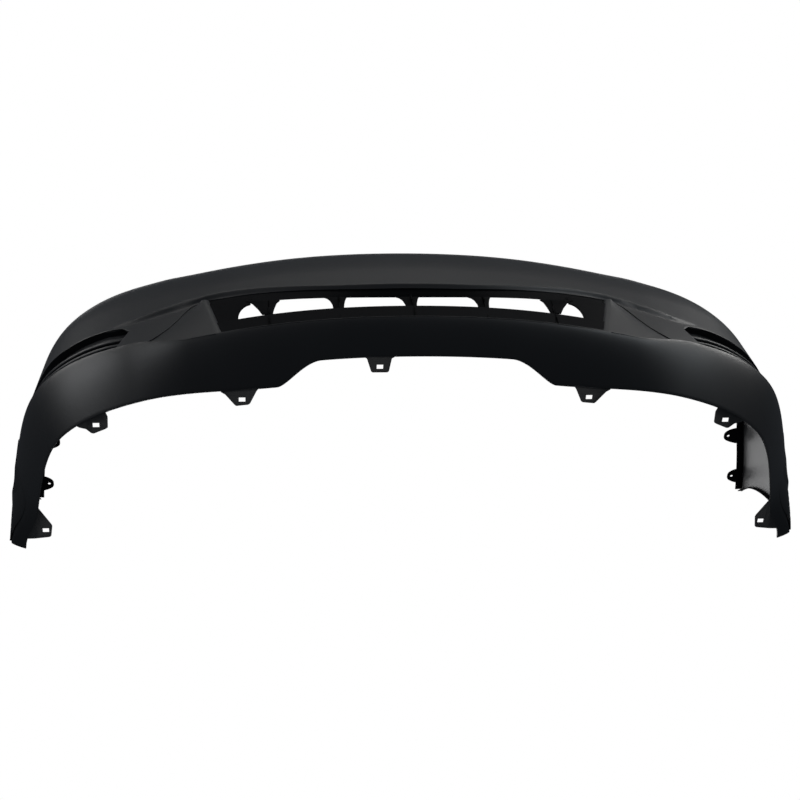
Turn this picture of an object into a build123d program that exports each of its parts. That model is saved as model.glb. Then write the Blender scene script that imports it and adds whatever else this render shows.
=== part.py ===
"""Front bumper cover of a saloon car, in its fitted attitude.

Millimetres. X is across the car, with 0 on the centre line, -Y is forward and +Z is up.
Y = 0 is halfway from the nose to the wing tips, and Z = 0 is the lowest edge of the cover.
The skin follows one plan curve, drawn at its widest level. A station is a distance along that
curve from the centre line, negative on the left. At each station the section of the skin is
set by how far it stands in from the plan curve.
"""
import math
import os

from build123d import *

# Driving dimensions
WALL = 3.0                      # skin and flange thickness
PLATE = 2.5                     # thickness of ribs, shelves and tabs
HALF_PLAN = [(0, -343), (300, -324), (560, -270), (755, -195), (835, -121), (868, -45),
             (890, 74), (906, 175), (922, 375)]
LIP_HEIGHT = 100.0              # top lip of the lower valance, at the centre
CREASE_RISE = 26.0              # how much higher the crease is under the corner vents
CORNER_RISE = 12.0              # and how much more it rises by the corner
WING_FALL = 80.0                # fall of the widest line from the corner to the wheel arch
TOP_HEIGHT = 515.0              # top edge, at the centre
UPRIGHT_LEAN = 0.11             # lean of the face above the crease
CROWN_START = 340.0             # height where the face starts to roll back
CROWN_RATE = 12.0               # extra inset in the first 100 mm above that height
VALANCE_POWER = 1.3             # roundness of the valance, 1 would be a straight slope

# Features, with stations as distances along the plan curve
AT_CORNER = 870.0
NOTCH_HALF, NOTCH_RISE = 299.0, 31.0
INTAKE_TOP, INTAKE_TOP_HALF, INTAKE_TIP = 237.0, 455.0, (588.0, 124.0)
VENT_START, VENT_END = 655.0, 990.0
VENT_DEPTH = 24.0
VENT_HEIGHT, VENT_SWELL = 96.0, 10.0
ARCH_CENTRE, ARCH_RADIUS = (575.0, 55.0), 372.0
UPSTAND_INSET = 20.0            # upright behind the valance lip
UPSTAND_TOP = 172.0
END_WALL_DEPTH = 10.0
BACK_PANEL = (396.0, 464.0)     # stations where the panel at each end of the intake begins and ends
TIE_PLACES = [-318, -162, 0, 162, 318]
TOP_FLANGE_WIDTH = 32.0
TOP_BOLT_PITCH, TOP_BOLT_Y = 180.0, -235.0
SCREW_RADIUS = 3.5
FENDER_SCREWS = [(830, 177), (851, 289)]
CLIP_HOLE = (14.0, 12.0)        # slots that take the splash shield clips

os.makedirs("parts", exist_ok=True)


def save(builder, name):
    """Label a finished piece and write it out."""
    builder.part.label = name
    export_step(builder.part, f"parts/{name}.step")


def ease(value, low, high):
    """0 below low, 1 above high, and a smooth S between."""
    t = min(max((value - low) / (high - low), 0.0), 1.0)
    return t * t * (3 - 2 * t)


mirrored_half = [(-x, y) for x, y in reversed(HALF_PLAN[1:])]
with BuildLine() as plan_line:
    Spline(*mirrored_half, *HALF_PLAN)
plan = plan_line.line.edge()
half_length = plan.length / 2


def station_plane(s):
    """Upright plane across the skin: local X points inwards, local Y is height."""
    u = 0.5 + s / (2 * half_length)
    point = plan.position_at(u)
    along = plan.tangent_at(u)
    inward = Vector(-along.Y, along.X, 0)
    return Plane(origin=point, x_dir=inward, z_dir=inward.cross(Vector(0, 0, 1)))


def crease_height(s):
    """Height of the line where the skin is widest."""
    s = abs(s)
    rise = CREASE_RISE * ease(s, 500, 640) + CORNER_RISE * ease(s, 680, 820)
    return LIP_HEIGHT + rise - WING_FALL * ease(s, 900, 1300)


def bottom_inset(s):
    """How far the lower edge stands in from the plan curve."""
    s = abs(s)
    return 97 - 29 * ease(s, 300, 620) - 10 * ease(s, 800, 1200)


def top_height(s):
    """Height of the upper edge: level in front, then down under the lamp to the wing."""
    s = abs(s)
    under_lamp = 15 * ease(s, 320, 620) + 100 * ease(s, 640, 960)
    return TOP_HEIGHT - under_lamp - 63 * ease(s, 900, 1400)


def inset(s, z):
    """How far the outside of the skin stands in from the plan curve at height z."""
    crease = crease_height(s)
    if z < crease:
        return bottom_inset(s) * ((crease - z) / crease) ** VALANCE_POWER
    crown = max(z - CROWN_START, 0) / 100
    return UPRIGHT_LEAN * (z - crease) + CROWN_RATE * crown ** 2


def skin_point(s, z, depth=0.0):
    """A point on the skin section, or depth under its outer face, in the station plane."""
    step = 0.5
    slope = (inset(s, z + step) - inset(s, max(z - step, 0))) / (z + step - max(z - step, 0))
    size = math.hypot(1, slope)
    return inset(s, z) + depth / size, z - depth * slope / size


def loft_along(stations, outline):
    """Loft a closed polygon through the stations. outline(s) lists its corners."""
    sections = []
    for s in stations:
        with BuildSketch(station_plane(s)) as section:
            with BuildLine():
                Polyline(*outline(s), close=True)
            make_face()
        sections.append(section.sketch)
    loft(sections)


def plan_y(x, z, depth=0.0):
    """Y of the skin at a given X and height, found along the plan curve."""
    low, high = 0.0, AT_CORNER
    for _ in range(30):
        s = (low + high) / 2
        place = station_plane(s).from_local_coords(Vector(skin_point(s, z, depth)[0], z, 0))
        low, high = (s, high) if place.X < abs(x) else (low, s)
    return place.Y


def vent_heights(s):
    """Lower and upper edge of a vent. It narrows as it runs round the corner."""
    low = crease_height(s) + 6
    tall = VENT_HEIGHT + VENT_SWELL * ease(abs(s), VENT_START, 740)
    return low, low + tall * (1 - 0.75 * ease(abs(s), 870, VENT_END))


def vent_opening(s):
    low, high = vent_heights(s)
    return [(-15, low), (12 + WALL, low), (12 + WALL, high), (-15, high)]


# The two cutters that open the corner vents
vent_stations = [VENT_START, 710, 770, 830, 880, 930, VENT_END]
with BuildPart() as vent_cutters:
    loft_along(vent_stations, vent_opening)
    mirror(about=Plane.YZ)


# Cover skin: face, valance and wings in one wall, with its openings
half_stations = [0, 110, 220, 330, 430, 520, 600, 670, 740, 800,
                 850, 900, 950, 1010, 1080, 1160, 1240, 1320, 1390]
skin_stations = [-s for s in reversed(half_stations[1:])] + half_stations
with BuildPart() as cover_skin:
    for s in skin_stations:
        crease, top = crease_height(s), top_height(s)
        heights = [0, 0.3 * crease, 0.65 * crease, 0.92 * crease]
        heights += [crease + share * (top - crease) for share in (0.06, 0.3, 0.55, 0.8, 1.0)]
        outer = [skin_point(s, z) for z in heights]
        inner = [skin_point(s, z, WALL) for z in heights]
        with BuildSketch(station_plane(s)):
            with BuildLine():
                Spline(*outer)
                Line(outer[-1], inner[-1])
                Spline(*reversed(inner))
                Line(inner[0], outer[0])
            make_face()
    loft()
    # wheel arches
    with BuildSketch(Plane.YZ):
        with Locations(ARCH_CENTRE):
            Circle(ARCH_RADIUS)
    extrude(amount=1100, both=True, mode=Mode.SUBTRACT)
    # raised middle of the lower edge
    with BuildSketch(Plane.XZ):
        with BuildLine():
            Polyline((-NOTCH_HALF, -20), (-NOTCH_HALF, 0), (-231, NOTCH_RISE), (231, NOTCH_RISE),
                     (NOTCH_HALF, 0), (NOTCH_HALF, -20), close=True)
        notch_face = make_face()
        fillet(notch_face.vertices().group_by(Axis.Y)[-1], radius=60)
    extrude(amount=400, both=True, mode=Mode.SUBTRACT)
    # lower intake
    tip_x, tip_z = INTAKE_TIP
    with BuildSketch(Plane.XZ):
        with BuildLine():
            Polyline((-INTAKE_TOP_HALF, INTAKE_TOP), (INTAKE_TOP_HALF, INTAKE_TOP),
                     (tip_x, tip_z), (550, LIP_HEIGHT), (-550, LIP_HEIGHT),
                     (-tip_x, tip_z), close=True)
        make_face()
    extrude(amount=400, both=True, mode=Mode.SUBTRACT)
    add(vent_cutters.part, mode=Mode.SUBTRACT)
save(cover_skin, "cover_skin")


def trim_to_skin(piece, *neighbours):
    """Cut the piece where it meets the skin and its neighbours, and keep its main body."""
    add(cover_skin.part, mode=Mode.SUBTRACT)
    for neighbour in neighbours:
        add(neighbour.part, mode=Mode.SUBTRACT)
    body = piece.part.solids().sort_by(SortBy.VOLUME)[-1]
    add(body, mode=Mode.REPLACE)


# Upper mounting flange, turned back from the top edge, with its row of bolt holes
with BuildPart() as upper_flange:
    def flange_section(s):
        top = top_height(s)
        high, low = skin_point(s, top, WALL)[0], skin_point(s, top - WALL, WALL)[0]
        tip = high + TOP_FLANGE_WIDTH
        return [(high, top), (tip, top), (tip, top - WALL), (low, top - WALL)]

    loft_along([-700, -600, -450, -300, -150, 0, 150, 300, 450, 600, 700], flange_section)
    # the holes start clear above the flange, so that they go right through
    with BuildSketch(Plane.XY.offset(TOP_HEIGHT + 10)):
        with Locations((0, TOP_BOLT_Y)):
            with GridLocations(TOP_BOLT_PITCH, 1, 4, 1):
                Circle(SCREW_RADIUS)
    extrude(amount=-50, mode=Mode.SUBTRACT)
    trim_to_skin(upper_flange)
save(upper_flange, "upper_mounting_flange")


# Lower intake: roof, floor with its upright, end walls and five ties
def roof_rear(x):
    """Y of the rear edge of the intake roof."""
    return -304 + 34 * (x / 450) ** 4


roof_xs = [-450, -330, -200, -70, 70, 200, 330, 450]
with BuildPart() as intake_roof:
    with BuildSketch(Plane.XY.offset(INTAKE_TOP)):
        with BuildLine():
            front = [(x, plan_y(x, INTAKE_TOP + PLATE, WALL)) for x in roof_xs]
            back = [(x, roof_rear(x)) for x in reversed(roof_xs)]
            Spline(*front)
            Line(front[-1], back[0])
            Spline(*back)
            Line(back[-1], front[0])
        make_face()
    extrude(amount=PLATE)
    trim_to_skin(intake_roof)
save(intake_roof, "intake_roof")

with BuildPart() as intake_floor:
    def floor_section(s):
        low = LIP_HEIGHT - PLATE
        behind = UPSTAND_INSET + PLATE
        return [(skin_point(s, low, WALL)[0], low), (behind, low), (behind, UPSTAND_TOP),
                (UPSTAND_INSET, UPSTAND_TOP), (UPSTAND_INSET, LIP_HEIGHT), (WALL, LIP_HEIGHT)]

    loft_along([-470, -350, -230, -110, 0, 110, 230, 350, 470], floor_section)
    trim_to_skin(intake_floor)
save(intake_floor, "intake_floor")

for side, name in ((-1, "left"), (1, "right")):
    with BuildPart() as end_wall:
        tip_x, tip_z = INTAKE_TIP
        corner = Vector(side * INTAKE_TOP_HALF, plan_y(INTAKE_TOP_HALF, INTAKE_TOP, WALL), 0)
        tip = Vector(side * tip_x, plan_y(tip_x, tip_z, WALL), 0)
        across = (tip - corner).normalized()
        reach = (tip - corner).length
        back = across.cross(Vector(0, 0, side)).normalized() * END_WALL_DEPTH
        if back.Y < 0:
            back = back * -1
        mouth = Plane(origin=corner, x_dir=across, z_dir=across.cross(Vector(0, 0, 1)))
        with BuildSketch(mouth):
            with BuildLine():
                Polyline((0, INTAKE_TOP), (reach, tip_z), (reach + 2.5, tip_z + 2),
                         (2.5, INTAKE_TOP + 2), close=True)
            make_face()
        with BuildSketch(Plane(origin=corner + back, x_dir=across, z_dir=mouth.z_dir)):
            with BuildLine():
                Polyline((-2, INTAKE_TOP), (14, LIP_HEIGHT), (17, LIP_HEIGHT),
                         (1, INTAKE_TOP + 2), close=True)
            make_face()
        loft(ruled=True)
        trim_to_skin(end_wall, intake_roof, intake_floor)
    save(end_wall, f"{name}_intake_wall")

    # Blank panel that closes the back of the intake beside the outer tie
    with BuildPart() as back_panel:
        def panel_section(s):
            near = UPSTAND_INSET + PLATE
            far = near + PLATE
            return [(near, LIP_HEIGHT), (far, LIP_HEIGHT), (far, INTAKE_TOP), (near, INTAKE_TOP)]

        start, end = BACK_PANEL
        middle = (start + end) / 2
        loft_along([side * start, side * middle, side * end], panel_section)
        trim_to_skin(back_panel, end_wall, intake_floor)
    save(back_panel, f"{name}_intake_panel")

for number, x in enumerate(TIE_PLACES, 1):
    blade_front = plan_y(x, LIP_HEIGHT) + UPSTAND_INSET - 9
    upright = plan_y(x, LIP_HEIGHT) + UPSTAND_INSET - 0.5
    tab_back = roof_rear(x)
    with BuildPart() as tie:
        with BuildSketch(Plane.YZ.offset(x - PLATE / 2)):
            with BuildLine():
                Polyline((blade_front, LIP_HEIGHT), (upright, LIP_HEIGHT), (upright, 200),
                         (tab_back - PLATE, 200), (tab_back - PLATE, INTAKE_TOP),
                         (blade_front, INTAKE_TOP), close=True)
            make_face()
        extrude(amount=PLATE)
        with BuildSketch(Plane.XZ.offset(-tab_back)):
            with BuildLine():
                Polyline((x - 27, INTAKE_TOP), (x + 27, INTAKE_TOP), (x + 13, 200), (x - 13, 200),
                         close=True)
            make_face()
        extrude(amount=PLATE)
    save(tie, f"intake_tie_{number}")


# Louvre box behind each corner vent
def louvre_section(s):
    """A box open to the front, with two slats that stop just inside the skin."""
    low, high = vent_heights(s)
    tall = high - low
    front = inset(s, high) + WALL + 3
    back = front + VENT_DEPTH
    nose = inset(s, low) + WALL + 2
    inner = back - PLATE
    slat_1, slat_2 = low + 0.52 * tall, low + 0.18 * tall
    drop = 0.16 * tall
    return [(front, high + PLATE), (back, high + PLATE), (back, low - PLATE),
            (nose, low - PLATE), (nose, low), (inner, low),
            (inner, slat_2), (nose, slat_2), (nose, slat_2 + drop), (inner, slat_2 + drop),
            (inner, slat_1), (nose, slat_1), (nose, slat_1 + drop), (inner, slat_1 + drop),
            (inner, high), (front, high)]


for side, name in ((-1, "left"), (1, "right")):
    with BuildPart() as louvre:
        loft_along([side * s for s in vent_stations], louvre_section)
        trim_to_skin(louvre)
    save(louvre, f"{name}_vent_louvre")


# Fender flange on top of each wing, with two screw ears
for side, name in ((-1, "left"), (1, "right")):
    with BuildPart() as fender_flange:
        def wing_top_section(s):
            top = top_height(s)
            edge = skin_point(s, top, WALL)[0]
            return [(edge - 2, top), (edge + 20, top), (edge + 20, top - WALL), (edge - 2, top - WALL)]

        loft_along([side * s for s in (1010, 1100, 1190, 1280, 1385)], wing_top_section)
        for x, y in FENDER_SCREWS:
            height = top_height(AT_CORNER + y + 135)
            with BuildSketch(Plane.XY.offset(height - WALL)):
                with BuildLine():
                    Polyline((side * (x - 11), y - 10), (side * (x - 11), y + 10),
                             (side * (x + 26), y + 20), (side * (x + 26), y - 22), close=True)
                make_face()
                with Locations((side * x, y)):
                    Circle(SCREW_RADIUS, mode=Mode.SUBTRACT)
            extrude(amount=WALL)
        with BuildSketch(Plane.YZ):
            with Locations(ARCH_CENTRE):
                Circle(ARCH_RADIUS)
        extrude(amount=side * 1100, mode=Mode.SUBTRACT)
        trim_to_skin(fender_flange)
    save(fender_flange, f"{name}_fender_flange")

# Return lip round the front of each wheel arch
for side, name in ((-1, "left"), (1, "right")):
    with BuildPart() as arch_lip:
        def lip_band(s):
            heights = [10, crease_height(s), 200, top_height(s) - WALL - 1]
            near = [skin_point(s, z, WALL) for z in heights]
            return near + [(x + 12, z) for x, z in reversed(near)]

        loft_along([side * s for s in (1150, 1210, 1270, 1330, 1390)], lip_band)
        with BuildSketch(Plane.YZ):
            with Locations(ARCH_CENTRE):
                Circle(ARCH_RADIUS + WALL)
                Circle(ARCH_RADIUS, mode=Mode.SUBTRACT)
        extrude(amount=side * 1100, mode=Mode.INTERSECT)
        trim_to_skin(arch_lip)
    save(arch_lip, f"{name}_arch_lip")


# Clip tabs that reach back from the lower edge
def clip_tab(outline, hole, name, height=0.0):
    """Flat tab with one slot, trimmed where it meets the skin."""
    with BuildPart() as tab:
        with BuildSketch(Plane.XY.offset(height)):
            with BuildLine():
                Polyline(*outline, close=True)
            make_face()
            with Locations(hole):
                Rectangle(*CLIP_HOLE, mode=Mode.SUBTRACT)
        extrude(amount=PLATE)
        trim_to_skin(tab)
    save(tab, name)


for side, name in ((-1, "left"), (1, "right")):
    shield = [(345, -225), (420, -217), (392, -177), (362, -180)]
    corner = [(664, -173), (667, -122), (700, -107), (738, -140)]
    foot = [(826, 105), (804, 145), (809, 179), (866, 187)]
    clip_tab([(side * x, y) for x, y in shield], (side * 378, -192), f"{name}_shield_tab")
    clip_tab([(side * x, y) for x, y in corner], (side * 692, -128), f"{name}_corner_tab")
    clip_tab([(side * x, y) for x, y in foot], (side * 819, 160), f"{name}_foot_tab")
middle = [(-112, -281), (-54, -281), (-63, -241), (-98, -241)]
clip_tab(middle, (-81, -254), "middle_shield_tab", NOTCH_RISE)
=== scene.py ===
# %% [markdown]
# # A front bumper cover
#
# The part is one large, thin moulding: a bowed face, a wide lower intake, a slatted vent at
# each corner, and two wings that run back to the wheel arches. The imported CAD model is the
# frame. It gives the size and the collision shape, and this script gives the surfaces.
#
# Everything is in metres, in the frame's own axes: X across the car, -Y forward, +Z up.

# %% Load the frame
import math

import bpy
import numpy as np
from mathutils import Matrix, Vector


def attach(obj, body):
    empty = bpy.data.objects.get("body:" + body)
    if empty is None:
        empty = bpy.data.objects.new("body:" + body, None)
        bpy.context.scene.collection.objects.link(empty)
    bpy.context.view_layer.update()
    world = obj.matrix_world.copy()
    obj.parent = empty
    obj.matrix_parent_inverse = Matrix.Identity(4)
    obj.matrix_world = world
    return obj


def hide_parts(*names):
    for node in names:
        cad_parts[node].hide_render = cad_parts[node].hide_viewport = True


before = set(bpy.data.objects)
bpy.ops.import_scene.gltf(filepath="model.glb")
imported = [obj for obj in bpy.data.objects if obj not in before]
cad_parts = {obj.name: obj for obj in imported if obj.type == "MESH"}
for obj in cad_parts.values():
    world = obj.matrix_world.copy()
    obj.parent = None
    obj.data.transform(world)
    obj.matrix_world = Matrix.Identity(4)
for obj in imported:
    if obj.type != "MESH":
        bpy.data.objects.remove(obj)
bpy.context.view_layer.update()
BODY = "root"
MM = 0.001

# %% [markdown]
# ## The plan curve
#
# A bumper is easiest to think of as one curve seen from above and one section that slides
# along it. The curve passes through a few points on the widest line of the cover, as a
# natural cubic spline, so it bends as little as it can between them. A station is a distance
# along it from the centre line, negative on the left.
#
# A spline could be a curve object, but the script has to ask it for points and directions
# thousands of times, so it is worked out here once and kept as a fine table.

# %% Spline
def cubic_through(knots, values):
    """Natural cubic spline through values at knots, as a function that takes an array."""
    knots, values = np.asarray(knots, float), np.asarray(values, float)
    gaps, count = np.diff(knots), len(knots)
    matrix, side = np.eye(count), np.zeros(values.shape)
    slopes = np.diff(values, axis=0) / gaps[:, None]
    for i in range(1, count - 1):
        matrix[i, i - 1:i + 2] = gaps[i - 1], 2 * (gaps[i - 1] + gaps[i]), gaps[i]
        side[i] = 6 * (slopes[i] - slopes[i - 1])
    bends = np.linalg.solve(matrix, side)

    def at(t):
        i = np.clip(np.searchsorted(knots, t) - 1, 0, count - 2)
        gap, left, right = gaps[i][:, None], (t - knots[i])[:, None], (knots[i + 1] - t)[:, None]
        ends = bends[i] * right ** 3 + bends[i + 1] * left ** 3
        lines = (values[i] / gap - bends[i] * gap / 6) * right
        lines += (values[i + 1] / gap - bends[i + 1] * gap / 6) * left
        return ends / (6 * gap) + lines

    return at


print("spline helper ready")

# %% [markdown]
# ## The points of the plan curve
#
# The nose is nearly straight, the corners turn within about 200 mm, and the wings run almost
# straight back. Nine points on one side say this, and the other side is their mirror image.

# %% Plan curve
PLAN_POINTS = [(0, -343), (300, -324), (560, -270), (755, -195), (835, -121), (868, -45),
               (890, 74), (906, 175), (922, 375)]
FINE_POINTS = 8001
FRONT_PART, WING_PART = slice(1500, 6501), slice(4200, None)   # stretches of the fine points
mirrored = [(-x, y) for x, y in reversed(PLAN_POINTS[1:])] + PLAN_POINTS
knots = np.concatenate([[0], np.cumsum(np.hypot(*np.diff(np.array(mirrored), axis=0).T))])
plan_spline = cubic_through(knots, mirrored)
fine_t = np.linspace(0, knots[-1], FINE_POINTS)
fine_xy = plan_spline(fine_t)
fine_s = np.concatenate([[0], np.cumsum(np.hypot(*np.diff(fine_xy, axis=0).T))])
HALF_LENGTH = fine_s[-1] / 2
fine_s -= HALF_LENGTH
print("half length of the plan curve:", round(HALF_LENGTH), "mm")


def plan_at(s):
    """Point on the plan curve and the outward direction there, for an array of stations."""
    x, y = np.interp(s, fine_s, fine_xy[:, 0]), np.interp(s, fine_s, fine_xy[:, 1])
    ahead, behind = s + 2.0, s - 2.0
    along_x = np.interp(ahead, fine_s, fine_xy[:, 0]) - np.interp(behind, fine_s, fine_xy[:, 0])
    along_y = np.interp(ahead, fine_s, fine_xy[:, 1]) - np.interp(behind, fine_s, fine_xy[:, 1])
    length = np.hypot(along_x, along_y)
    return x, y, along_y / length, -along_x / length


# %% [markdown]
# ## The section
#
# The section says how far the skin stands in from the plan curve at each height. Below the
# crease it rolls under to the lower edge. Above it the face leans back a little, and near
# the top it rolls back faster. Each of these is a short formula, so the same shape can be
# asked for anywhere: by the skin, by the flanges and by the slats.

# %% Section
LIP_HEIGHT, CREASE_RISE, CORNER_RISE, WING_FALL = 100.0, 31.0, 7.0, 80.0
FOOT_START, FOOT_END, FOOT_DROP = 1080.0, 1215.0, 44.0   # the wing squares up towards its foot
FOOT_TUCK = 5.0
BOTTOM_INSET, TOP_HEIGHT = 97.0, 515.0                   # both in the middle of the cover
CROWN_START, CROWN_RATE, LEAN = 340.0, 12.0, 0.11
STEP_HEIGHT, STEP_DEPTH = 5.0, 3.0                       # tight step just above the crease
TUCK_HEIGHT, TUCK_BAND, TUCK_DEPTH = 270.0, 16.0, 8.0    # soft turn-under above the openings
MIDDLE_SET_BACK = 2.0                                    # keeps the middle inside the frame


def ease(value, low, high):
    """0 below low, 1 above high, with a smooth S between."""
    t = np.clip((value - low) / (high - low), 0, 1)
    return t * t * (3 - 2 * t)


def crease_height(s):
    s = np.abs(s)
    rise = CREASE_RISE * ease(s, 500, 640) + CORNER_RISE * ease(s, 640, 780)
    fall = WING_FALL * ease(s, 900, 1300) + FOOT_DROP * ease(s, FOOT_START, FOOT_END)
    return LIP_HEIGHT + rise - fall


def bottom_inset(s):
    s = np.abs(s)
    less = 29 * ease(s, 300, 620) + 10 * ease(s, 800, 1200) + 20 * ease(s, 1120, FOOT_END)
    return BOTTOM_INSET - less


def top_height(s):
    s = np.abs(s)
    under_lamp = 15 * ease(s, 320, 620) + 100 * ease(s, 640, 960)
    return TOP_HEIGHT - under_lamp - 63 * ease(s, 900, 1400)


def tuck_height(s):
    """Height of the soft line where the face turns under, above the intake."""
    s = np.abs(s)
    return TUCK_HEIGHT + 36 * ease(s, 120, 440) - 48 * ease(s, 430, 660)


def inset(s, z):
    """How far the outer face stands in from the plan curve, in mm."""
    crease = crease_height(s)
    roundness = 1.3 + 0.7 * ease(np.abs(s), FOOT_START, FOOT_END)
    below = bottom_inset(s) * (np.clip(crease - z, 0, None) / crease) ** roundness
    crown = np.clip(z - CROWN_START, 0, None) / 100
    above = LEAN * np.clip(z - crease, 0, None) + CROWN_RATE * crown ** 2
    foot_tuck = FOOT_TUCK * ease(np.abs(s), FOOT_START, FOOT_END) * (1 - ease(z, 20, 140))
    step = STEP_DEPTH * ease(z - crease, 0, STEP_HEIGHT) * ease(np.abs(s), 560, 640)
    step = step * (1 - ease(np.abs(s), 900, 1050))
    tuck = TUCK_DEPTH * ease(tuck_height(s) - z, 0, TUCK_BAND) * (1 - ease(np.abs(s), 600, 760))
    set_back = MIDDLE_SET_BACK * (1 - ease(np.abs(s), 300, 700))
    return below + above + foot_tuck + set_back + np.where(z > crease, np.maximum(step, tuck), 0)


def skin_at(s, z, depth=0.0):
    """Points on the outer face, or depth mm inside it, in metres: an array of x, y, z."""
    s, z, depth = np.broadcast_arrays(s, z, depth)
    x, y, out_x, out_y = plan_at(s)
    stand = inset(s, z) + depth
    return np.stack([x - out_x * stand, y - out_y * stand, z], axis=-1) * MM


nose = skin_at(np.array(0.0), np.array(LIP_HEIGHT))
print("valance lip in the middle:", [round(float(v), 3) for v in nose])

# %% [markdown]
# ## The edges of the openings
#
# The skin is a net of rows and columns. A few rows follow real edges: the lower edge with its
# raised middle, the crease, the upper edge of the intake and the two edges of the vents. So
# every opening is cut along the net, with no ragged faces, and the highlights flow past it.

# %% Edge curves
NOTCH_RISE = 31.0
INTAKE_TOP, UPPER_LIP = 237.0, 257.0
MOUTH_CORNER = 468.0                       # where the upper lip starts to turn down
MOUTH_EDGE = [(468, 289), (486, 282), (505, 268), (534, 213), (563, 168), (585, 144), (606, 129)]
INTAKE_TIP = 606.0
VENT_IN, VENT_OUT = 652.0, 992.0
VENT_TALL, VENT_SWELL, VENT_ROUNDING = 94.0, 6.0, 20.0
SLANT_HEIGHT, SLANT_SHIFT = 180.0, 17.0    # the slant turns about this height
ARCH_Y, ARCH_Z, ARCH_RADIUS = 575.0, 55.0, 372.0
ARCH_RUN = 1000.0                          # from here back the columns fan out to the arch


def lower_edge(s):
    """Height of the lower edge: level, and raised in the middle in a smooth S."""
    return NOTCH_RISE * (1 - ease(np.abs(s), 212, 318)) ** 0.8


mouth_edge = cubic_through([s for s, _ in MOUTH_EDGE], [[z] for _, z in MOUTH_EDGE])


def intake_upper(s):
    """Upper edge of the intake: it rises outwards, then slopes down to the crease at the tip."""
    s = np.abs(s)
    level = UPPER_LIP + 32 * ease(s, 100, 430)
    slanted = mouth_edge(np.clip(np.ravel(s), MOUTH_CORNER, INTAKE_TIP))[:, 0]
    edge = np.where(s < MOUTH_CORNER, level, slanted.reshape(np.shape(s)))
    return np.maximum(edge, crease_height(s) + 1)


def vent_lower(s):
    s = np.abs(s)
    near_vent = crease_height(s) + STEP_HEIGHT + 2
    return near_vent + (intake_upper(s) + 4 - near_vent) * (1 - ease(s, 580, 645))


def vent_upper(s):
    """Upper edge of the vent, narrowing as it runs round the corner."""
    s = np.abs(s)
    tall = (VENT_TALL + VENT_SWELL * ease(s, VENT_IN, 740)) * (1 - 0.93 * ease(s, 850, 1010))
    near_vent = crease_height(s) + STEP_HEIGHT + tall
    merged = near_vent + (intake_upper(s) + 14 - near_vent) * (1 - ease(s, 430, 640))
    return np.maximum(merged, vent_lower(s) + 8)


def vent_rim(s):
    """Upper edge as cut in the skin, rounded off at the inner corner."""
    near = ease(np.abs(s), 612, VENT_IN) * (1 - ease(np.abs(s), VENT_IN, VENT_IN + 34)) ** 2
    return vent_upper(s) - VENT_ROUNDING * near


def vent_slant(s, z):
    """Shift of the columns near the inner end of a vent, which is cut at a slant."""
    near = ease(np.abs(s), VENT_IN - 60, VENT_IN) * (1 - ease(np.abs(s), VENT_IN, VENT_IN + 80))
    return np.sign(s) * near * np.clip((SLANT_HEIGHT - z) / 50, -1, 1) * SLANT_SHIFT


def reach_arch(s, z):
    """Stretch the stations of a wing so that the last column lies on the wheel arch."""
    size = np.abs(s)
    arch_y = ARCH_Y - np.sqrt(ARCH_RADIUS ** 2 - (z - ARCH_Z) ** 2)
    end = np.interp(arch_y, fine_xy[WING_PART, 1], fine_s[WING_PART])
    share = np.clip((size - ARCH_RUN) / (HALF_LENGTH - ARCH_RUN), 0, 1)
    return np.sign(s) * np.where(size > ARCH_RUN, ARCH_RUN + (end - ARCH_RUN) * share, size)


print("mouth edge from", MOUTH_EDGE[0], "to", MOUTH_EDGE[-1], "mm")

# %% [markdown]
# ## Materials
#
# A shader is a tree of nodes. Sums are easiest to read when they are written as sums, so the
# small class below wraps a socket and turns Python's own signs into Math nodes. Every other
# node comes from one method, graph.node, which sets the node up and then fills its sockets.

# %% Shader maths
class Wire:
    """An output socket that can be added, subtracted, multiplied and divided."""

    def __init__(self, tree, socket):
        self.tree, self.socket = tree, socket

    def maths(self, operation, first, second):
        node = self.tree.nodes.new("ShaderNodeMath")
        node.operation = operation
        for slot, item in zip(node.inputs, (first, second)):
            plug(self.tree, slot, item)
        return Wire(self.tree, node.outputs[0])

    def __add__(self, other):
        return self.maths("ADD", self, other)

    def __radd__(self, other):
        return self.maths("ADD", other, self)

    def __sub__(self, other):
        return self.maths("SUBTRACT", self, other)

    def __rsub__(self, other):
        return self.maths("SUBTRACT", other, self)

    def __mul__(self, other):
        return self.maths("MULTIPLY", self, other)

    def __rmul__(self, other):
        return self.maths("MULTIPLY", other, self)

    def __truediv__(self, other):
        return self.maths("DIVIDE", self, other)

    def __rtruediv__(self, other):
        return self.maths("DIVIDE", other, self)


def plug(tree, slot, item):
    """Link a wire to an input, or set the input to a plain value."""
    if isinstance(item, Wire):
        tree.links.new(item.socket, slot)
    else:
        slot.default_value = item


class Graph:
    """The node tree of a material or of the world, with its shader and its surface socket."""

    def __init__(self, owner, shader="Principled BSDF", output="Material Output"):
        owner.use_nodes = True
        self.owner, self.tree = owner, owner.node_tree
        self.shader = self.tree.nodes[shader]
        self.surface = self.tree.nodes[output].inputs["Surface"]

    def node(self, kind, settings=None, sockets=None, output=0):
        """A node of any kind: its settings first, then its sockets by name or number."""
        node = self.tree.nodes.new(kind)
        for key, value in (settings or {}).items():
            setattr(node, key, value)
        for key, item in (sockets or {}).items():
            plug(self.tree, node.inputs[key], item)
        return Wire(self.tree, node.outputs[output])

    def shade(self, sockets):
        for key, item in sockets.items():
            plug(self.tree, self.shader.inputs[key], item)

    def blend(self, factor, shader):
        """Mix the graph's own shader with another one, and send the result to the surface."""
        own = Wire(self.tree, self.shader.outputs[0])
        mixed = self.node("ShaderNodeMixShader", sockets={0: factor, 1: own, 2: shader})
        plug(self.tree, self.surface, mixed)


print("shader helpers ready")

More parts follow.
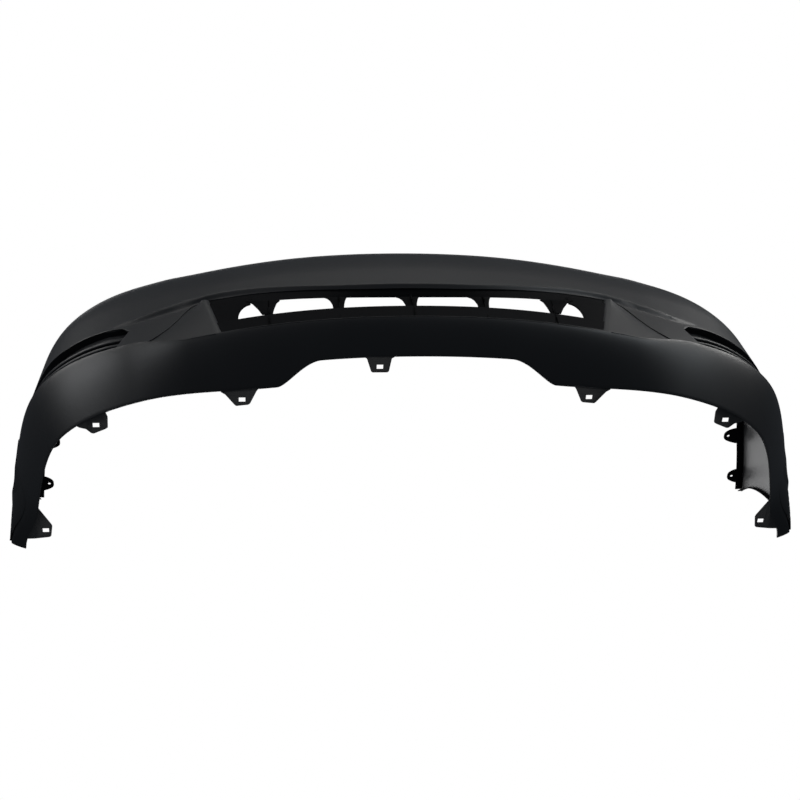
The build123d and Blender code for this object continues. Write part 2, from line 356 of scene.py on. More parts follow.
# %% [markdown]
# ## Black plastics
#
# The cover is a polypropylene moulding. Its outside is sprayed with a satin black primer, and
# the returns and ties are bare black plastic. Both are near black; the bare plastic is less
# glossy, and its colour is also set darker than black plastic is, as painted shade, so the shaded
# inside of the intake reads near black. Slow clouding keeps a large face from looking flat, and a
# fine grain in the bump breaks up the highlights as spray does. A picture could give both, but it
# would need to be unwrapped over every piece, while noise on Object coordinates fits them all.

# %% Black plastics
def mix_colour(graph, factor, dark, light):
    sockets = {0: factor, 6: dark, 7: light}
    return graph.node("ShaderNodeMix", {"data_type": "RGBA"}, sockets, output=2)


def black_plastic(name, dark, light, roughness, grain, coat, shine):
    """Near-black plastic with soft clouding and a fine grain."""
    graph = Graph(bpy.data.materials.new(name))
    where = graph.node("ShaderNodeTexCoord", output="Object")
    cloud = graph.node("ShaderNodeTexNoise", sockets={"Vector": where, "Scale": 5.0,
                                                      "Detail": 3.0})
    fine = graph.node("ShaderNodeTexNoise", sockets={"Vector": where, "Scale": 1400.0,
                                                     "Detail": 2.0})
    bump = graph.node("ShaderNodeBump", sockets={"Height": fine, "Strength": grain,
                                                 "Distance": 0.0004})
    graph.shade({"Base Color": mix_colour(graph, cloud, dark, light),
                 "Roughness": roughness + (cloud - 0.5) * 0.10 + (fine - 0.5) * 0.08,
                 "Coat Weight": coat * (0.8 + 0.4 * cloud), "Coat Roughness": 0.30,
                 "Specular IOR Level": shine, "Normal": bump})
    return graph.owner


MATERIALS = {
    "primed_skin": black_plastic("primer", (0.020, 0.021, 0.023, 1), (0.027, 0.028, 0.030, 1),
                                 0.42, 0.10, 0.10, 0.5),
    # The moulding's colour is partly painted shade: darker than bare black plastic, so the shaded
    # inside of the intake reads near black.
    "moulded_black": black_plastic("moulding", (0.0030, 0.0032, 0.0040, 1),
                                   (0.0055, 0.0058, 0.0072, 1), 0.66, 0.22, 0.0, 0.06),
    "vent_black": black_plastic("vent", (0.014, 0.015, 0.017, 1), (0.020, 0.021, 0.023, 1),
                                0.40, 0.12, 0.05, 0.4)}
print("materials:", ", ".join(MATERIALS))

# %% [markdown]
# ## Building a surface from a grid
#
# Blender's grid primitive is a flat sheet of quads. Its vertices are then moved onto the
# surface. This gives a clean net of four-sided faces, which a plane bent by hand would not,
# and the openings are faces that are selected and deleted.

# %% Grids
def deselect_all():
    bpy.ops.object.select_all(action="DESELECT")


def surface_grid(name, points):
    """Grid primitive whose vertices are put at points, an array of rows x columns x 3."""
    rows, columns = points.shape[:2]
    deselect_all()
    bpy.ops.mesh.primitive_grid_add(x_subdivisions=columns - 1, y_subdivisions=rows - 1, size=1)
    sheet = bpy.context.object
    sheet.name = sheet.data.name = name
    sheet.data.vertices.foreach_set("co", points.reshape(-1))
    return sheet


def delete_faces(sheet, doomed):
    """Delete the faces whose indices are marked true."""
    bpy.ops.object.mode_set(mode="EDIT")
    bpy.ops.mesh.select_mode(type="FACE")
    bpy.ops.mesh.select_all(action="DESELECT")
    bpy.ops.object.mode_set(mode="OBJECT")
    sheet.data.polygons.foreach_set("select", doomed)
    bpy.ops.object.mode_set(mode="EDIT")
    bpy.ops.mesh.delete(type="FACE")
    bpy.ops.object.mode_set(mode="OBJECT")


print("grid helpers ready")

# %% [markdown]
# ## Modifiers, and finishing a piece
#
# A modifier is added, set and applied in one go, so that the mesh that is exported is the mesh
# that is seen. Every finished piece gets the material of its slot, smooth shading up to 30
# degrees and the body it rides on, and the CAD nodes that it stands for are hidden.

# %% Modifiers and finish
SMOOTH_ANGLE = 30


def apply_modifier(piece, kind, **settings):
    modifier = piece.modifiers.new(kind.title(), kind)
    for key, value in settings.items():
        setattr(modifier, key, value)
    bpy.context.view_layer.objects.active = piece
    piece.select_set(True)
    bpy.ops.object.modifier_apply(modifier=modifier.name)


def finish_piece(piece, slot, replaced):
    """Material of the slot, smooth shading and body; the CAD nodes that the piece stands for are
    hidden.
    """
    piece.data.materials.clear()
    piece.data.materials.append(MATERIALS[slot])
    deselect_all()
    piece.select_set(True)
    bpy.context.view_layer.objects.active = piece
    bpy.ops.object.shade_smooth_by_angle(angle=math.radians(SMOOTH_ANGLE))
    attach(piece, BODY)
    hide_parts(*replaced)
    print(piece.name, len(piece.data.polygons), "faces")


def bevel_edges(piece, width, sharper_than=40):
    """Round the edges that are sharper than an angle, width in mm."""
    apply_modifier(piece, "BEVEL", width=width * MM, segments=2, limit_method="ANGLE",
                   angle_limit=math.radians(sharper_than))


print("finishing helpers ready")

# %% [markdown]
# ## Swept solids
#
# Flanges, lips, shelves and slats have one small section that follows the skin. Extruding the
# section along a curve would twist it, so its corners are worked out at each station, as a
# closed ring. A grid whose last column falls on its first is a tube through those rings. The
# doubles are merged, the two ends are filled, and the normals are turned outwards.

# %% Swept solids
def swept_rings(stations, section):
    """Rings for ring_solid. section(s) lists (stand-in, height) pairs in mm."""
    rings = []
    for s in stations:
        corners = np.array(section(s), float)
        x, y, out_x, out_y = plan_at(np.full(len(corners), float(s)))
        rings.append(np.stack([x - out_x * corners[:, 0], y - out_y * corners[:, 0],
                               corners[:, 1]], axis=-1) * MM)
    return np.array(rings)


def ring_solid(name, rings, bevel=0.6):
    """Solid swept through closed rings: an array of rings x points x 3, in metres."""
    closed = np.concatenate([rings, rings[:, :1]], axis=1)
    piece = surface_grid(name, closed)
    bpy.ops.object.mode_set(mode="EDIT")
    bpy.ops.mesh.select_all(action="SELECT")
    bpy.ops.mesh.remove_doubles(threshold=0.00001)
    bpy.ops.mesh.fill_holes(sides=0)
    bpy.ops.mesh.select_all(action="SELECT")
    bpy.ops.mesh.normals_make_consistent(inside=False)
    bpy.ops.object.mode_set(mode="OBJECT")
    if bevel:
        bevel_edges(piece, bevel)
    return piece


print("sweeping helpers ready")

# %% [markdown]
# ## Plates, holes and joins
#
# Tabs, ears and ties are flat plates. A plate starts as a filled circle with one vertex for
# each corner. The vertices are put at the corners, rounded by a vertex bevel, and extruded. A
# hole is a cutter subtracted by a Boolean, which leaves clean walls all the way through.

# %% Plates, holes and joins
def plate(name, outline, push, corner=0.0, bevel=0.5):
    """Plate: a polygon primitive with its corners at the outline, rounded, then extruded."""
    deselect_all()
    bpy.ops.mesh.primitive_circle_add(vertices=len(outline), radius=0.1, fill_type="NGON")
    piece = bpy.context.object
    piece.name = piece.data.name = name
    for vertex, place in zip(piece.data.vertices, outline):
        vertex.co = Vector(place) * MM
    bpy.ops.object.mode_set(mode="EDIT")
    bpy.ops.mesh.select_all(action="SELECT")
    if corner:
        bpy.ops.mesh.bevel(offset=corner * MM, segments=5, affect="VERTICES")
        bpy.ops.mesh.select_all(action="SELECT")
    bpy.ops.mesh.extrude_region_move(TRANSFORM_OT_translate={"value": Vector(push) * MM})
    bpy.ops.mesh.select_all(action="SELECT")
    bpy.ops.mesh.normals_make_consistent(inside=False)
    bpy.ops.object.mode_set(mode="OBJECT")
    if bevel:
        bevel_edges(piece, bevel)
    return piece


def cut(piece, cutter):
    """Subtract the cutter from the piece, and remove it."""
    apply_modifier(piece, "BOOLEAN", operation="DIFFERENCE", object=cutter, solver="EXACT")
    bpy.data.objects.remove(cutter)


def box_cutter(centre, size):
    deselect_all()
    bpy.ops.mesh.primitive_cube_add(size=1, location=Vector(centre) * MM)
    bpy.context.object.scale = Vector(size) * MM
    bpy.ops.object.transform_apply(location=True, rotation=True, scale=True)
    return bpy.context.object


def rod_cutter(centre, radius, length):
    deselect_all()
    bpy.ops.mesh.primitive_cylinder_add(vertices=32, radius=radius * MM, depth=length * MM,
                                        location=Vector(centre) * MM)
    bpy.ops.object.transform_apply(location=True, rotation=True, scale=True)
    return bpy.context.object


def join(pieces, name):
    deselect_all()
    for piece in pieces:
        piece.select_set(True)
    bpy.context.view_layer.objects.active = pieces[0]
    bpy.ops.object.join()
    pieces[0].name = pieces[0].data.name = name
    return pieces[0]


print("plate helpers ready")

# %% [markdown]
# ## The net of the cover skin
#
# The columns of the net are stations, closer together where the surface turns quickly. The
# rows are sets of heights between one edge curve and the next. Near a vent the columns lean,
# and on a wing they fan out to the wheel arch, so the last column is the arch itself.

# %% Net of the skin
def between(start, stop, count):
    return np.linspace(0, 1, count, endpoint=False)[:, None] * (stop - start) + start


half_stations = np.concatenate([
    np.linspace(0, 212, 24, endpoint=False), np.linspace(212, 318, 22, endpoint=False),
    np.linspace(318, 440, 14, endpoint=False), np.linspace(440, INTAKE_TIP, 30, endpoint=False),
    np.linspace(INTAKE_TIP, VENT_IN, 10, endpoint=False),
    np.linspace(VENT_IN, VENT_OUT, 60, endpoint=False),
    np.linspace(VENT_OUT, HALF_LENGTH, 46)])
stations = np.concatenate([-half_stations[:0:-1], half_stations])[None, :]
row_sets = [
    between(lower_edge(stations), crease_height(stations), 20),
    between(crease_height(stations), intake_upper(stations), 5),
    between(intake_upper(stations), vent_lower(stations), 2),
    between(vent_lower(stations), vent_rim(stations), 14),
    between(vent_rim(stations), top_height(stations), 52),
    top_height(stations)]
heights = np.concatenate(row_sets)
row_start = np.cumsum([0] + [len(rows) for rows in row_sets])
all_s = np.broadcast_to(stations, heights.shape)
all_s = reach_arch(all_s + vent_slant(all_s, heights), heights)
print("net of the skin:", heights.shape[0], "rows by", heights.shape[1], "columns")

# %% [markdown]
# ## Cover skin
#
# The face, the valance below it and both wings are one wall, 3 mm thick. The grid is laid on
# the outer face, the openings are deleted from it, and Solidify gives the wall inwards, so the
# outside stays put. A small bevel rounds the edges as a mould would. Cutting the openings with
# a Boolean would also work, but it would leave long thin faces that spoil the highlights.

# %% Cover skin
WALL = 3.0
WALL_EDGE_ANGLE = 50
skin = surface_grid("bumper_skin", skin_at(all_s, heights))
face_rows, face_columns = heights.shape[0] - 1, heights.shape[1] - 1
row_index, column_index = np.divmod(np.arange(face_rows * face_columns), face_columns)
middle = np.abs((stations[0, 1:] + stations[0, :-1]) / 2)[column_index]
in_intake = (row_index >= row_start[1]) & (row_index < row_start[2]) & (middle < INTAKE_TIP)
in_vent = (row_index >= row_start[3]) & (row_index < row_start[4])
in_vent &= (middle > VENT_IN) & (middle < VENT_OUT)
delete_faces(skin, in_intake | in_vent)
apply_modifier(skin, "SOLIDIFY", thickness=WALL * MM, offset=-1)
bevel_edges(skin, 0.7, WALL_EDGE_ANGLE)
finish_piece(skin, "primed_skin", ["cover_skin"])

# %% [markdown]
# ## Top flange
#
# The top edge turns back into a flat flange that is screwed to the radiator support. It is a
# strip that follows the skin, with its root buried in the wall, so that no slit shows between
# the two. The four screw holes are in line.

# %% Top flange
TOP_FLANGE_WIDTH, SCREW_RADIUS = 32.0, 3.5
TOP_SCREWS = [(-270, -235), (-90, -235), (90, -235), (270, -235)]
BURIED = 1.2                               # how far inside the outer face a root starts


def flange_section(width):
    def section(s):
        top = float(top_height(s))
        root = float(inset(s, top)) + BURIED
        tip = root + width
        return [(root, top), (tip, top), (tip, top - WALL), (root, top - WALL)]

    return section


flange_rings = swept_rings(np.linspace(-700, 700, 141), flange_section(TOP_FLANGE_WIDTH))
top_flange = ring_solid("top_flange", flange_rings)
for x, y in TOP_SCREWS:
    cut(top_flange, rod_cutter((x, y, TOP_HEIGHT - 2), SCREW_RADIUS, 30))
finish_piece(top_flange, "moulded_black", ["upper_mounting_flange"])

# %% [markdown]
# ## Wing flanges
#
# Each wing has a narrow flange that goes under the front wing panel. Two rounded ears on it
# take the screws. An ear is a plate that overlaps the strip, and both are drilled, so the hole
# is clear wherever they lie on each other.

# %% Wing flanges
WING_FLANGE_WIDTH = 17.0
FENDER_SCREWS = [(830, 177), (851, 289)]
EAR = [(-11, -9), (-11, 9), (2, 17), (26, 24), (26, -26), (2, -19)]   # round the screw
STATION_BEFORE_Y = 1005.0                  # on a wing, a station is about this much more than Y


def wing_end(z):
    """Station where a wing meets the wheel arch at height z."""
    arch_y = ARCH_Y - math.sqrt(ARCH_RADIUS ** 2 - (z - ARCH_Z) ** 2)
    return float(np.interp(arch_y, fine_xy[WING_PART, 1], fine_s[WING_PART]))


for side, name in ((-1, "left"), (1, "right")):
    run = side * np.linspace(1010, wing_end(337) - 8, 50)
    strip = ring_solid(name + "_wing_flange",
                       swept_rings(run, flange_section(WING_FLANGE_WIDTH)))
    ears = []
    for number, (x, y) in enumerate(FENDER_SCREWS):
        low = float(top_height(STATION_BEFORE_Y + y)) - WALL
        outline = [(side * (x + a), y + b, low) for a, b in EAR]
        ear = plate(f"{name}_ear_{number}", outline, (0, 0, WALL), corner=6)
        cut(strip, rod_cutter((side * x, y, low), SCREW_RADIUS, 20))
        cut(ear, rod_cutter((side * x, y, low), SCREW_RADIUS, 20))
        ears.append(ear)
    flange = join([strip] + ears, name + "_wing_flange")
    finish_piece(flange, "moulded_black", [name + "_fender_flange"])

# %% [markdown]
# ## Wheel-arch lips
#
# The rear edge of a wing is turned inwards round the wheel arch, so that no raw edge faces
# the tyre. The lip is a band 12 mm wide that follows the arch. Its rings lie at one height
# each, because the arch runs up the wing and not along the plan curve.

# %% Arch lips
LIP_WIDTH, LIP_ROOT, LIP_AHEAD = 12.0, WALL - 0.6, 0.5
for side, name in ((-1, "left"), (1, "right")):
    rings = []
    for z in np.linspace(6, 336, 60):
        spots = []
        for ahead, deep in ((LIP_AHEAD, LIP_ROOT), (LIP_AHEAD, LIP_WIDTH), (WALL, LIP_WIDTH),
                            (WALL, LIP_ROOT)):
            station = side * (wing_end(z) - ahead)
            spots.append(skin_at(np.array(station), np.array(z), np.array(deep)))
        rings.append(spots)
    lip = ring_solid(name + "_wheel_lip", np.array(rings))
    finish_piece(lip, "moulded_black", [name + "_arch_lip"])

# %% [markdown]
# ## Intake roof
#
# A shelf runs back from the upper edge of the intake. It follows that edge at the front, which
# rises outwards, and is level at the back, where it meets the ties. So its rings lie across
# the car, one for each X, and not square to the skin.

# %% Intake roof
PLATE = 2.5
ROOF_HALF = 484.0


def roof_rear(x):
    return -304 + 34 * (x / 450) ** 4


def station_of(x):
    """Station whose plan point has this X. It is good near the middle of the cover."""
    return np.interp(x, fine_xy[FRONT_PART, 0], fine_s[FRONT_PART])


def roof_rings():
    rings = []
    for x in np.linspace(-ROOF_HALF, ROOF_HALF, 131):
        s = np.array([station_of(x)])
        rise = (float(intake_upper(s)[0]) - INTAKE_TOP + 0.5) * MM
        front = skin_at(s, intake_upper(s), WALL - 1.2)[0]
        back = np.array([x * MM, roof_rear(x) * MM, 0])
        low, high = INTAKE_TOP * MM, (INTAKE_TOP + PLATE) * MM
        rings.append([(front[0], front[1], low + rise), (front[0], front[1], high + rise),
                      (back[0], back[1], high), (back[0], back[1], low)])
    return np.array(rings)


roof = ring_solid("intake_roof_shelf", roof_rings())
finish_piece(roof, "moulded_black", ["intake_roof"])

# %% [markdown]
# ## Intake floor
#
# A narrow shelf is level with the lip of the valance, and an upright stands at its back. From
# below, the upright is the dark band between the lip and the bays; it lies in shade, and its
# material adds painted shade. One L-shaped section makes both at once, so there is no seam
# between them.

# %% Intake floor
UPSTAND_INSET, UPSTAND_TOP = 20.0, 172.0


def floor_section(s):
    low, behind = LIP_HEIGHT - PLATE, UPSTAND_INSET + PLATE
    return [(WALL - 0.6, low), (behind, low), (behind, UPSTAND_TOP), (UPSTAND_INSET, UPSTAND_TOP),
            (UPSTAND_INSET, LIP_HEIGHT), (WALL - 0.6, LIP_HEIGHT)]


shelf = ring_solid("intake_shelf", swept_rings(np.linspace(-470, 470, 121), floor_section))
finish_piece(shelf, "moulded_black", ["intake_floor"])

# %% [markdown]
# ## End walls of the intake
#
# An end wall closes the slanted end of the mouth. It starts just inside the slanted edge, runs
# inwards to a ridge, and turns to the rear there. It is a grid between those two lines, bowed
# by a quarter of a sine, so it leaves the edge smoothly. Its last rows come down to the crease,
# and a short level ledge closes its foot.

# %% End walls
MOUTH_START, RIDGE_TOP, RIDGE_BOTTOM = 482.0, (474.0, 280.0), (434.0, LIP_HEIGHT)
RIDGE_IN_TOP, RIDGE_IN_BOTTOM = 19.5, 15.5
RIDGE_SHARE, CLOSING_SHARE = 0.7, 0.92     # where the wall turns, and where it starts to close
TURN_ALONG, TURN_BACK = 14.0, 9.0


def curved_wall(name, points):
    """Thin wall from a grid, thickened to the rear."""
    wall = surface_grid(name, points)
    apply_modifier(wall, "SOLIDIFY", thickness=PLATE * MM, offset=-1)
    bevel_edges(wall, 0.5, WALL_EDGE_ANGLE)
    return wall


def ledge_section(s):
    """Level strip that closes the foot of an end wall, behind the valance lip."""
    high = float(crease_height(s)) - 0.3
    return [(BURIED, high), (22, high), (22, high - PLATE), (BURIED, high - PLATE)]


def end_wall(side, name):
    across, down = np.meshgrid(np.linspace(0, 1, 31), np.linspace(0, 1, 40))
    along = np.clip(down / CLOSING_SHARE, 0, 1)
    close = np.clip((down - CLOSING_SHARE) / (1 - CLOSING_SHARE), 0, 1)
    mouth_s = MOUTH_START + along * (INTAKE_TIP + 2 - MOUTH_START)
    mouth_z = (intake_upper(mouth_s) + 1.5) * (1 - close) + (crease_height(mouth_s) - 0.5) * close
    mouth_in = inset(mouth_s, mouth_z) + WALL - 0.8
    ridge_s = RIDGE_TOP[0] + (RIDGE_BOTTOM[0] - RIDGE_TOP[0]) * down
    ridge_z = RIDGE_TOP[1] + (RIDGE_BOTTOM[1] - RIDGE_TOP[1]) * down
    ridge_in = RIDGE_IN_TOP + (RIDGE_IN_BOTTOM - RIDGE_IN_TOP) * down
    share = np.clip(across / RIDGE_SHARE, 0, 1)
    turn = np.clip((across - RIDGE_SHARE) / (1 - RIDGE_SHARE), 0, 1) * math.pi / 2
    wall_s = mouth_s + (ridge_s - mouth_s) * share - TURN_ALONG * np.sin(turn)
    low_line = crease_height(wall_s) - 0.5
    wall_z = np.maximum(mouth_z + (ridge_z - mouth_z) * share, low_line)
    wall_z = wall_z + (low_line - wall_z) * close
    wall_in = mouth_in + (ridge_in - mouth_in) * np.sin(share * math.pi / 2)
    wall_in = wall_in + TURN_BACK * (1 - np.cos(turn))
    x, y, out_x, out_y = plan_at(side * wall_s)
    points = np.stack([x - out_x * wall_in, y - out_y * wall_in, wall_z], axis=-1) * MM
    wall = curved_wall(name + "_mouth_wall", points[:, ::side])
    run = side * np.linspace(436, 612, 45)
    ledge = ring_solid(name + "_ledge", swept_rings(run, ledge_section))
    wall = join([wall, ledge], name + "_mouth_wall")
    finish_piece(wall, "primed_skin", [name + "_intake_wall"])


print("ridge of an end wall: station", RIDGE_TOP[0], "at the top,", RIDGE_BOTTOM[0], "at the foot")

# %% [markdown]
# ## Blank panels
#
# Between the outermost tie and the end wall the back of the intake is closed by a blank panel.
# The edge next to the tie curves over it as an arch, so the first and the last bay are narrow
# at the top. The arch is a quarter of an ellipse, written straight into the columns of a grid.

# %% Blank panels
PANEL_INNER, PANEL_OUTER, PANEL_RISE = 392.0, 488.0, 24.0
ARCH_REACH, ARCH_SPRING, ARCH_RISE = 28.0, 182.0, 48.0


def blank_panel(side, name):
    across, up = np.meshgrid(np.linspace(0, 1, 12), np.linspace(0, 1, 80))
    panel_z = LIP_HEIGHT + (INTAKE_TOP + PANEL_RISE - LIP_HEIGHT) * up
    arch = ARCH_REACH * (1 - np.sqrt(1 - np.clip((panel_z - ARCH_SPRING) / ARCH_RISE, 0, 1) ** 2))
    inner = PANEL_INNER - arch
    panel_s = inner + (PANEL_OUTER - inner) * across
    x, y, out_x, out_y = plan_at(side * panel_s)
    deep = UPSTAND_INSET + PLATE + 0.5
    points = np.stack([x - out_x * deep, y - out_y * deep, panel_z], axis=-1) * MM
    panel = curved_wall(name + "_blank_panel", points[:, ::side])
    finish_piece(panel, "moulded_black", [name + "_intake_panel"])


for side, name in ((-1, "left"), (1, "right")):
    end_wall(side, name)
    blank_panel(side, name)

# %% [markdown]
# ## Ties
#
# Five thin ties hold the roof and the floor together. Each is a blade that stands along the
# car, joined to a flared tab that stands across it. The outer tabs reach further on one side.
# Both parts are flat, so both are plates, and the two outer tabs are one outline, mirrored.

# %% Ties
TIE_PLACES = [-318, -162, 0, 162, 318]
OUTER_TAB = [(-52, 237), (-50, 231.5), (-43, 230), (-36, 223), (-24, 201), (-15, 178), (9, 178),
             (10, 190), (13, 206), (18, 226), (25, 237)]
INNER_TAB = [(-34, 237), (-26, 232), (-20, 223), (-15, 206), (-13, 168), (9, 168), (10, 190),
             (12, 212), (15, 228), (18, 237)]
for number, x in enumerate(TIE_PLACES, 1):
    s = np.array(station_of(x))
    edge_y = float(skin_at(s, np.array(LIP_HEIGHT))[1]) / MM
    blade_front, upright = edge_y + UPSTAND_INSET - 7, edge_y + UPSTAND_INSET - 0.5
    tab_back = roof_rear(x)
    front_at_top = float(skin_at(s, np.array(INTAKE_TOP), np.array(WALL + 3))[1]) / MM
    left = x - PLATE / 2
    blade = plate(f"tie_blade_{number}", [
        (left, blade_front, LIP_HEIGHT), (left, upright, LIP_HEIGHT), (left, upright, 200),
        (left, tab_back - PLATE, 206), (left, tab_back - PLATE, INTAKE_TOP),
        (left, front_at_top, INTAKE_TOP)], (PLATE, 0, 0), corner=2, bevel=0.4)
    outline = OUTER_TAB if number in (1, 5) else INNER_TAB
    flip = -1 if number == 5 else 1
    tab = plate(f"tie_tab_{number}", [(x + flip * w, tab_back, z) for w, z in outline],
                (0, -PLATE, 0), bevel=0.4)
    tie = join([blade, tab], f"tie_{number}")
    finish_piece(tie, "moulded_black", [f"intake_tie_{number}"])

# %% [markdown]
# ## Corner vents
#
# Each vent is a shallow tray behind the opening, with two slats that run round the corner.
# The tray is open to the front. The slats have rounded noses, just inside the skin. All of
# them follow the two edges of the vent, so each is a section whose height shrinks as it goes.

# %% Vents
VENT_DEPTH, TRAY_WALL, HIDDEN = 24.0, 2.5, WALL - 0.8
SLAT_SHARES, SLAT_THICKNESS, SLAT_NOSE = (0.22, 0.47), 0.12, 5.0


def tray_section(s):
    low, high = float(vent_lower(s)), float(vent_upper(s))
    front, nose = float(inset(s, high)) + HIDDEN, float(inset(s, low)) + HIDDEN
    back = float(inset(s, (low + high) / 2)) + VENT_DEPTH
    return [(front, high + TRAY_WALL), (back, high + TRAY_WALL), (back, low - TRAY_WALL),
            (nose, low - TRAY_WALL), (nose, low - 0.2), (back - TRAY_WALL, low - 0.2),
            (back - TRAY_WALL, high + 0.2), (front, high + 0.2)]


def slat_section(share):
    def section(s):
        low, high = float(vent_lower(s)), float(vent_upper(s))
        tall = high - low
        middle, half = low + share * tall, SLAT_THICKNESS * tall / 2
        front = float(inset(s, middle)) + HIDDEN
        back = front + VENT_DEPTH - 4
        nose = [(front + SLAT_NOSE * (1 - math.cos(a)), middle + half * math.sin(a))
                for a in np.linspace(-math.pi / 2, math.pi / 2, 9)]
        return nose + [(back, middle + half * 0.8), (back, middle - half * 0.8)]

    return section


for side, name in ((-1, "left"), (1, "right")):
    run = side * np.linspace(VENT_IN - 24, VENT_OUT + 5, 90)
    tray = ring_solid(name + "_tray", swept_rings(run, tray_section))
    slats = [ring_solid(f"{name}_slat_{number}", swept_rings(run, slat_section(share)), 0)
             for number, share in enumerate(SLAT_SHARES)]
    vent = join([tray] + slats, name + "_vent")
    finish_piece(vent, "vent_black", [name + "_vent_louvre"])

# %% [markdown]
# ## Clip tabs
#
# Flat tabs reach back from the lower edge and from the wing tips. The splash shield and the
# wheel-arch liners clip into their slots. Each is a plate with rounded corners and one slot.
# The corner and foot tabs end in a row of points on the skin, so they meet it without a gap
# and don't stand out in front of it. The small bevel comes last, and rounds the slot too.

# %% Clip tabs
SLOT_SIZE = (14.0, 12.0, 20.0)
SHIELD_TAB = [(341, -223), (347, -214), (361, -182), (365, -179), (391, -176), (395, -180),
              (414, -206), (424, -213)]
CORNER_TAB = [(666, -150), (667, -122), (672, -118), (698, -106), (703, -107), (714, -118),
              (728, -122)]
FOOT_TAB = [(806, 143), (804, 148), (808, 176), (812, 179), (845, 183)]
MIDDLE_TAB = [(-118, -281), (-110, -276), (-100, -243), (-97, -240), (-64, -240),
              (-61, -243), (-56, -276), (-48, -281)]


def along_skin(first, last):
    """Points just inside the outer face, at the lower edge, from one station to another."""
    points = skin_at(np.linspace(first, last, 8), np.full(8, 1.0), 1.5) / MM
    return [(x, y) for x, y, _ in points]


def clip_tab(name, outline, slot_place, height, node):
    tab = plate(name, [(x, y, height) for x, y in outline], (0, 0, PLATE), corner=1.5, bevel=0)
    cut(tab, box_cutter((*slot_place, height), SLOT_SIZE))
    bevel_edges(tab, 0.4)
    finish_piece(tab, "primed_skin", [node])


TABS = [("shield", SHIELD_TAB, (378, -192)),
        ("corner", CORNER_TAB + along_skin(800, 712), (692, -128)),
        ("foot", FOOT_TAB + along_skin(1195, 1103), (819, 160))]
for side, name in ((-1, "left"), (1, "right")):
    for kind, outline, (x, y) in TABS:
        clip_tab(f"{name}_{kind}_clip_tab", [(side * a, b) for a, b in outline],
                 (side * x, y), 0, f"{name}_{kind}_tab")
clip_tab("middle_clip_tab", MIDDLE_TAB, (-81, -254), NOTCH_RISE, "middle_shield_tab")

# %% [markdown]
# ## Floor
#
# The cover stands on a pale floor. The camera looks up at it from below and in front, so the
# floor is solid from above and clear from behind: a Transparent shader is mixed in on its back
# face. It gives the object neither shadow nor reflection, as seamless paper far below would.

# %% Floor
deselect_all()
bpy.ops.mesh.primitive_plane_add(size=60, location=(0, 0, -0.002))
floor = bpy.context.object
floor.name = "studio_floor"
paper = Graph(bpy.data.materials.new("paper"))
paper.shade({"Base Color": (0.35, 0.35, 0.35, 1), "Roughness": 0.9,
             "Emission Color": (1, 1, 1, 1), "Emission Strength": 0.55})
paper.blend(paper.node("ShaderNodeNewGeometry", output="Backfacing"),
            paper.node("ShaderNodeBsdfTransparent"))
floor.data.materials.append(paper.owner)
floor.visible_shadow = floor.visible_diffuse = floor.visible_glossy = False
print("floor material:", paper.owner.name)

# %% [markdown]
# ## Lights
#
# Black plastic shows its shape by reflections more than by shade, so the light comes from a
# few large soft boxes: three high ones for the face, two low ones for the corners, one inside
# the wings, a weak one below for the tabs, and one above for the back.

# %% Lights
def soft_box(name, place, target, size, power, colour=(1, 1, 1)):
    data = bpy.data.lights.new(name, "AREA")
    data.shape, data.size, data.size_y = "RECTANGLE", size[0], size[1]
    data.energy, data.color = power, colour
    light = bpy.data.objects.new(name, data)
    light.location = place
    light.rotation_euler = (Vector(target) - Vector(place)).to_track_quat("-Z", "Y").to_euler()
    bpy.context.scene.collection.objects.link(light)
    light.visible_camera = False


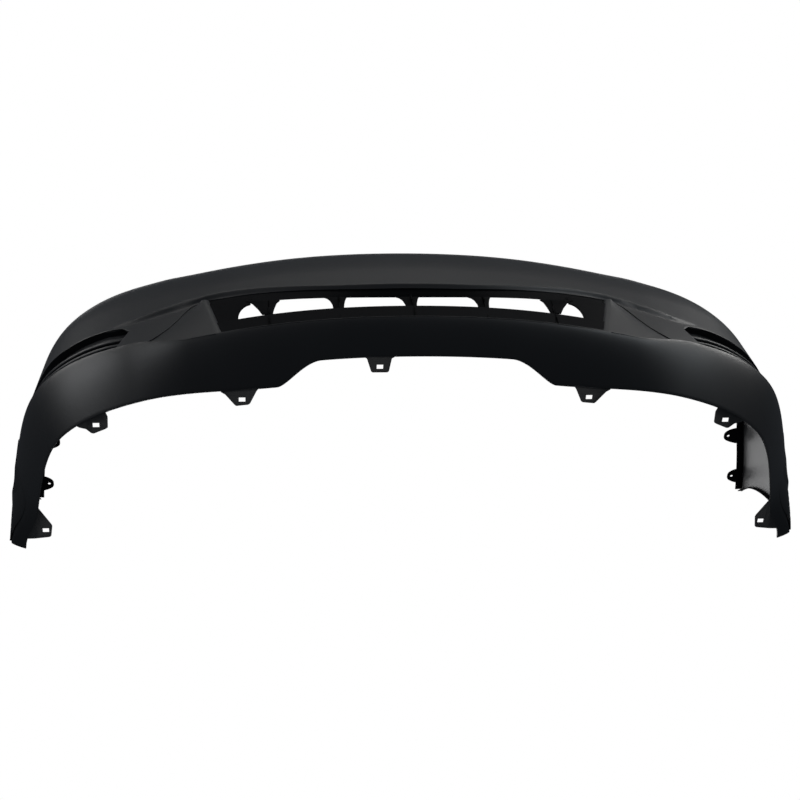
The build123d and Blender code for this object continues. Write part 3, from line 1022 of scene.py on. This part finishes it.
SOFT_BOXES = [
    ("high_front", (0.2, -2.4, 3.2), (0, -0.2, 0.3), (3.2, 1.2), 15, (1.0, 0.99, 0.96)),
    ("high_right", (2.8, -1.6, 2.4), (0.4, -0.2, 0.3), (1.6, 1.2), 36, (1.0, 0.99, 0.97)),
    ("high_left", (-2.8, -1.6, 2.4), (-0.4, -0.2, 0.3), (1.6, 1.2), 20, (1.0, 0.99, 0.97)),
    ("front_right", (2.4, -2.8, 0.9), (0.5, -0.2, 0.2), (1.4, 0.8), 13, (0.88, 0.95, 1.0)),
    ("front_left", (-3.0, -2.2, 0.8), (-0.6, -0.2, 0.2), (1.4, 1.0), 19, (0.96, 0.98, 1.0)),
    ("inside", (-0.7, 2.0, 1.0), (0.9, 0.1, 0.2), (1.2, 1.0), 19),
    ("below", (0, 1.6, -2.0), (0, -0.1, 0.0), (2.6, 1.2), 5),
    ("top", (0, 1.8, 3.0), (0, 0, 0.2), (3.0, 2.0), 28)]
for box in SOFT_BOXES:
    soft_box(*box)
print(len(SOFT_BOXES), "soft boxes")

# %% [markdown]
# ## Backdrop
#
# The camera sees a white backdrop, but the object is lit only by a dim, slightly blue sky. The
# Light Path node tells the two apart, so the white doesn't wash out the black plastic.

# %% Backdrop
world = bpy.data.worlds.new("studio")
bpy.context.scene.world = world
studio = Graph(world, "Background", "World Output")
studio.shade({"Color": (1, 1, 1, 1), "Strength": 1})
sky = studio.node("ShaderNodeBackground",
                  sockets={"Color": (0.75, 0.85, 1, 1), "Strength": 0.055})
white = Wire(studio.tree, studio.shader.outputs[0])
seen = studio.node("ShaderNodeLightPath", output="Is Camera Ray")
plug(studio.tree, studio.surface, studio.node("ShaderNodeMixShader",
                                              sockets={0: seen, 1: sky, 2: white}))
bpy.context.scene.view_settings.view_transform = "Standard"
print("backdrop:", world.name)

# %% [markdown]
# ## Camera
#
# The camera is 3 m below the cover and a little to the left, and looks up and forward at it
# through a long lens, so the lower edge and the tabs show, and both wings reach towards it.

# %% Camera
CAMERA_PLACE = (-0.363, -2.3206, -3.0824)
CAMERA_TURN = (145.255, 4.325, -2.486)
FOCAL_LENGTH, SENSOR_WIDTH, FAR_CLIP = 78.1, 36.0, 50
camera_data = bpy.data.cameras.new("camera")
camera_data.lens, camera_data.sensor_width = FOCAL_LENGTH, SENSOR_WIDTH
camera_data.clip_end = FAR_CLIP
camera = bpy.data.objects.new("camera", camera_data)
camera.location = CAMERA_PLACE
camera.rotation_euler = [math.radians(angle) for angle in CAMERA_TURN]
bpy.context.scene.collection.objects.link(camera)
bpy.context.scene.camera = camera
print("lens:", FOCAL_LENGTH, "mm")
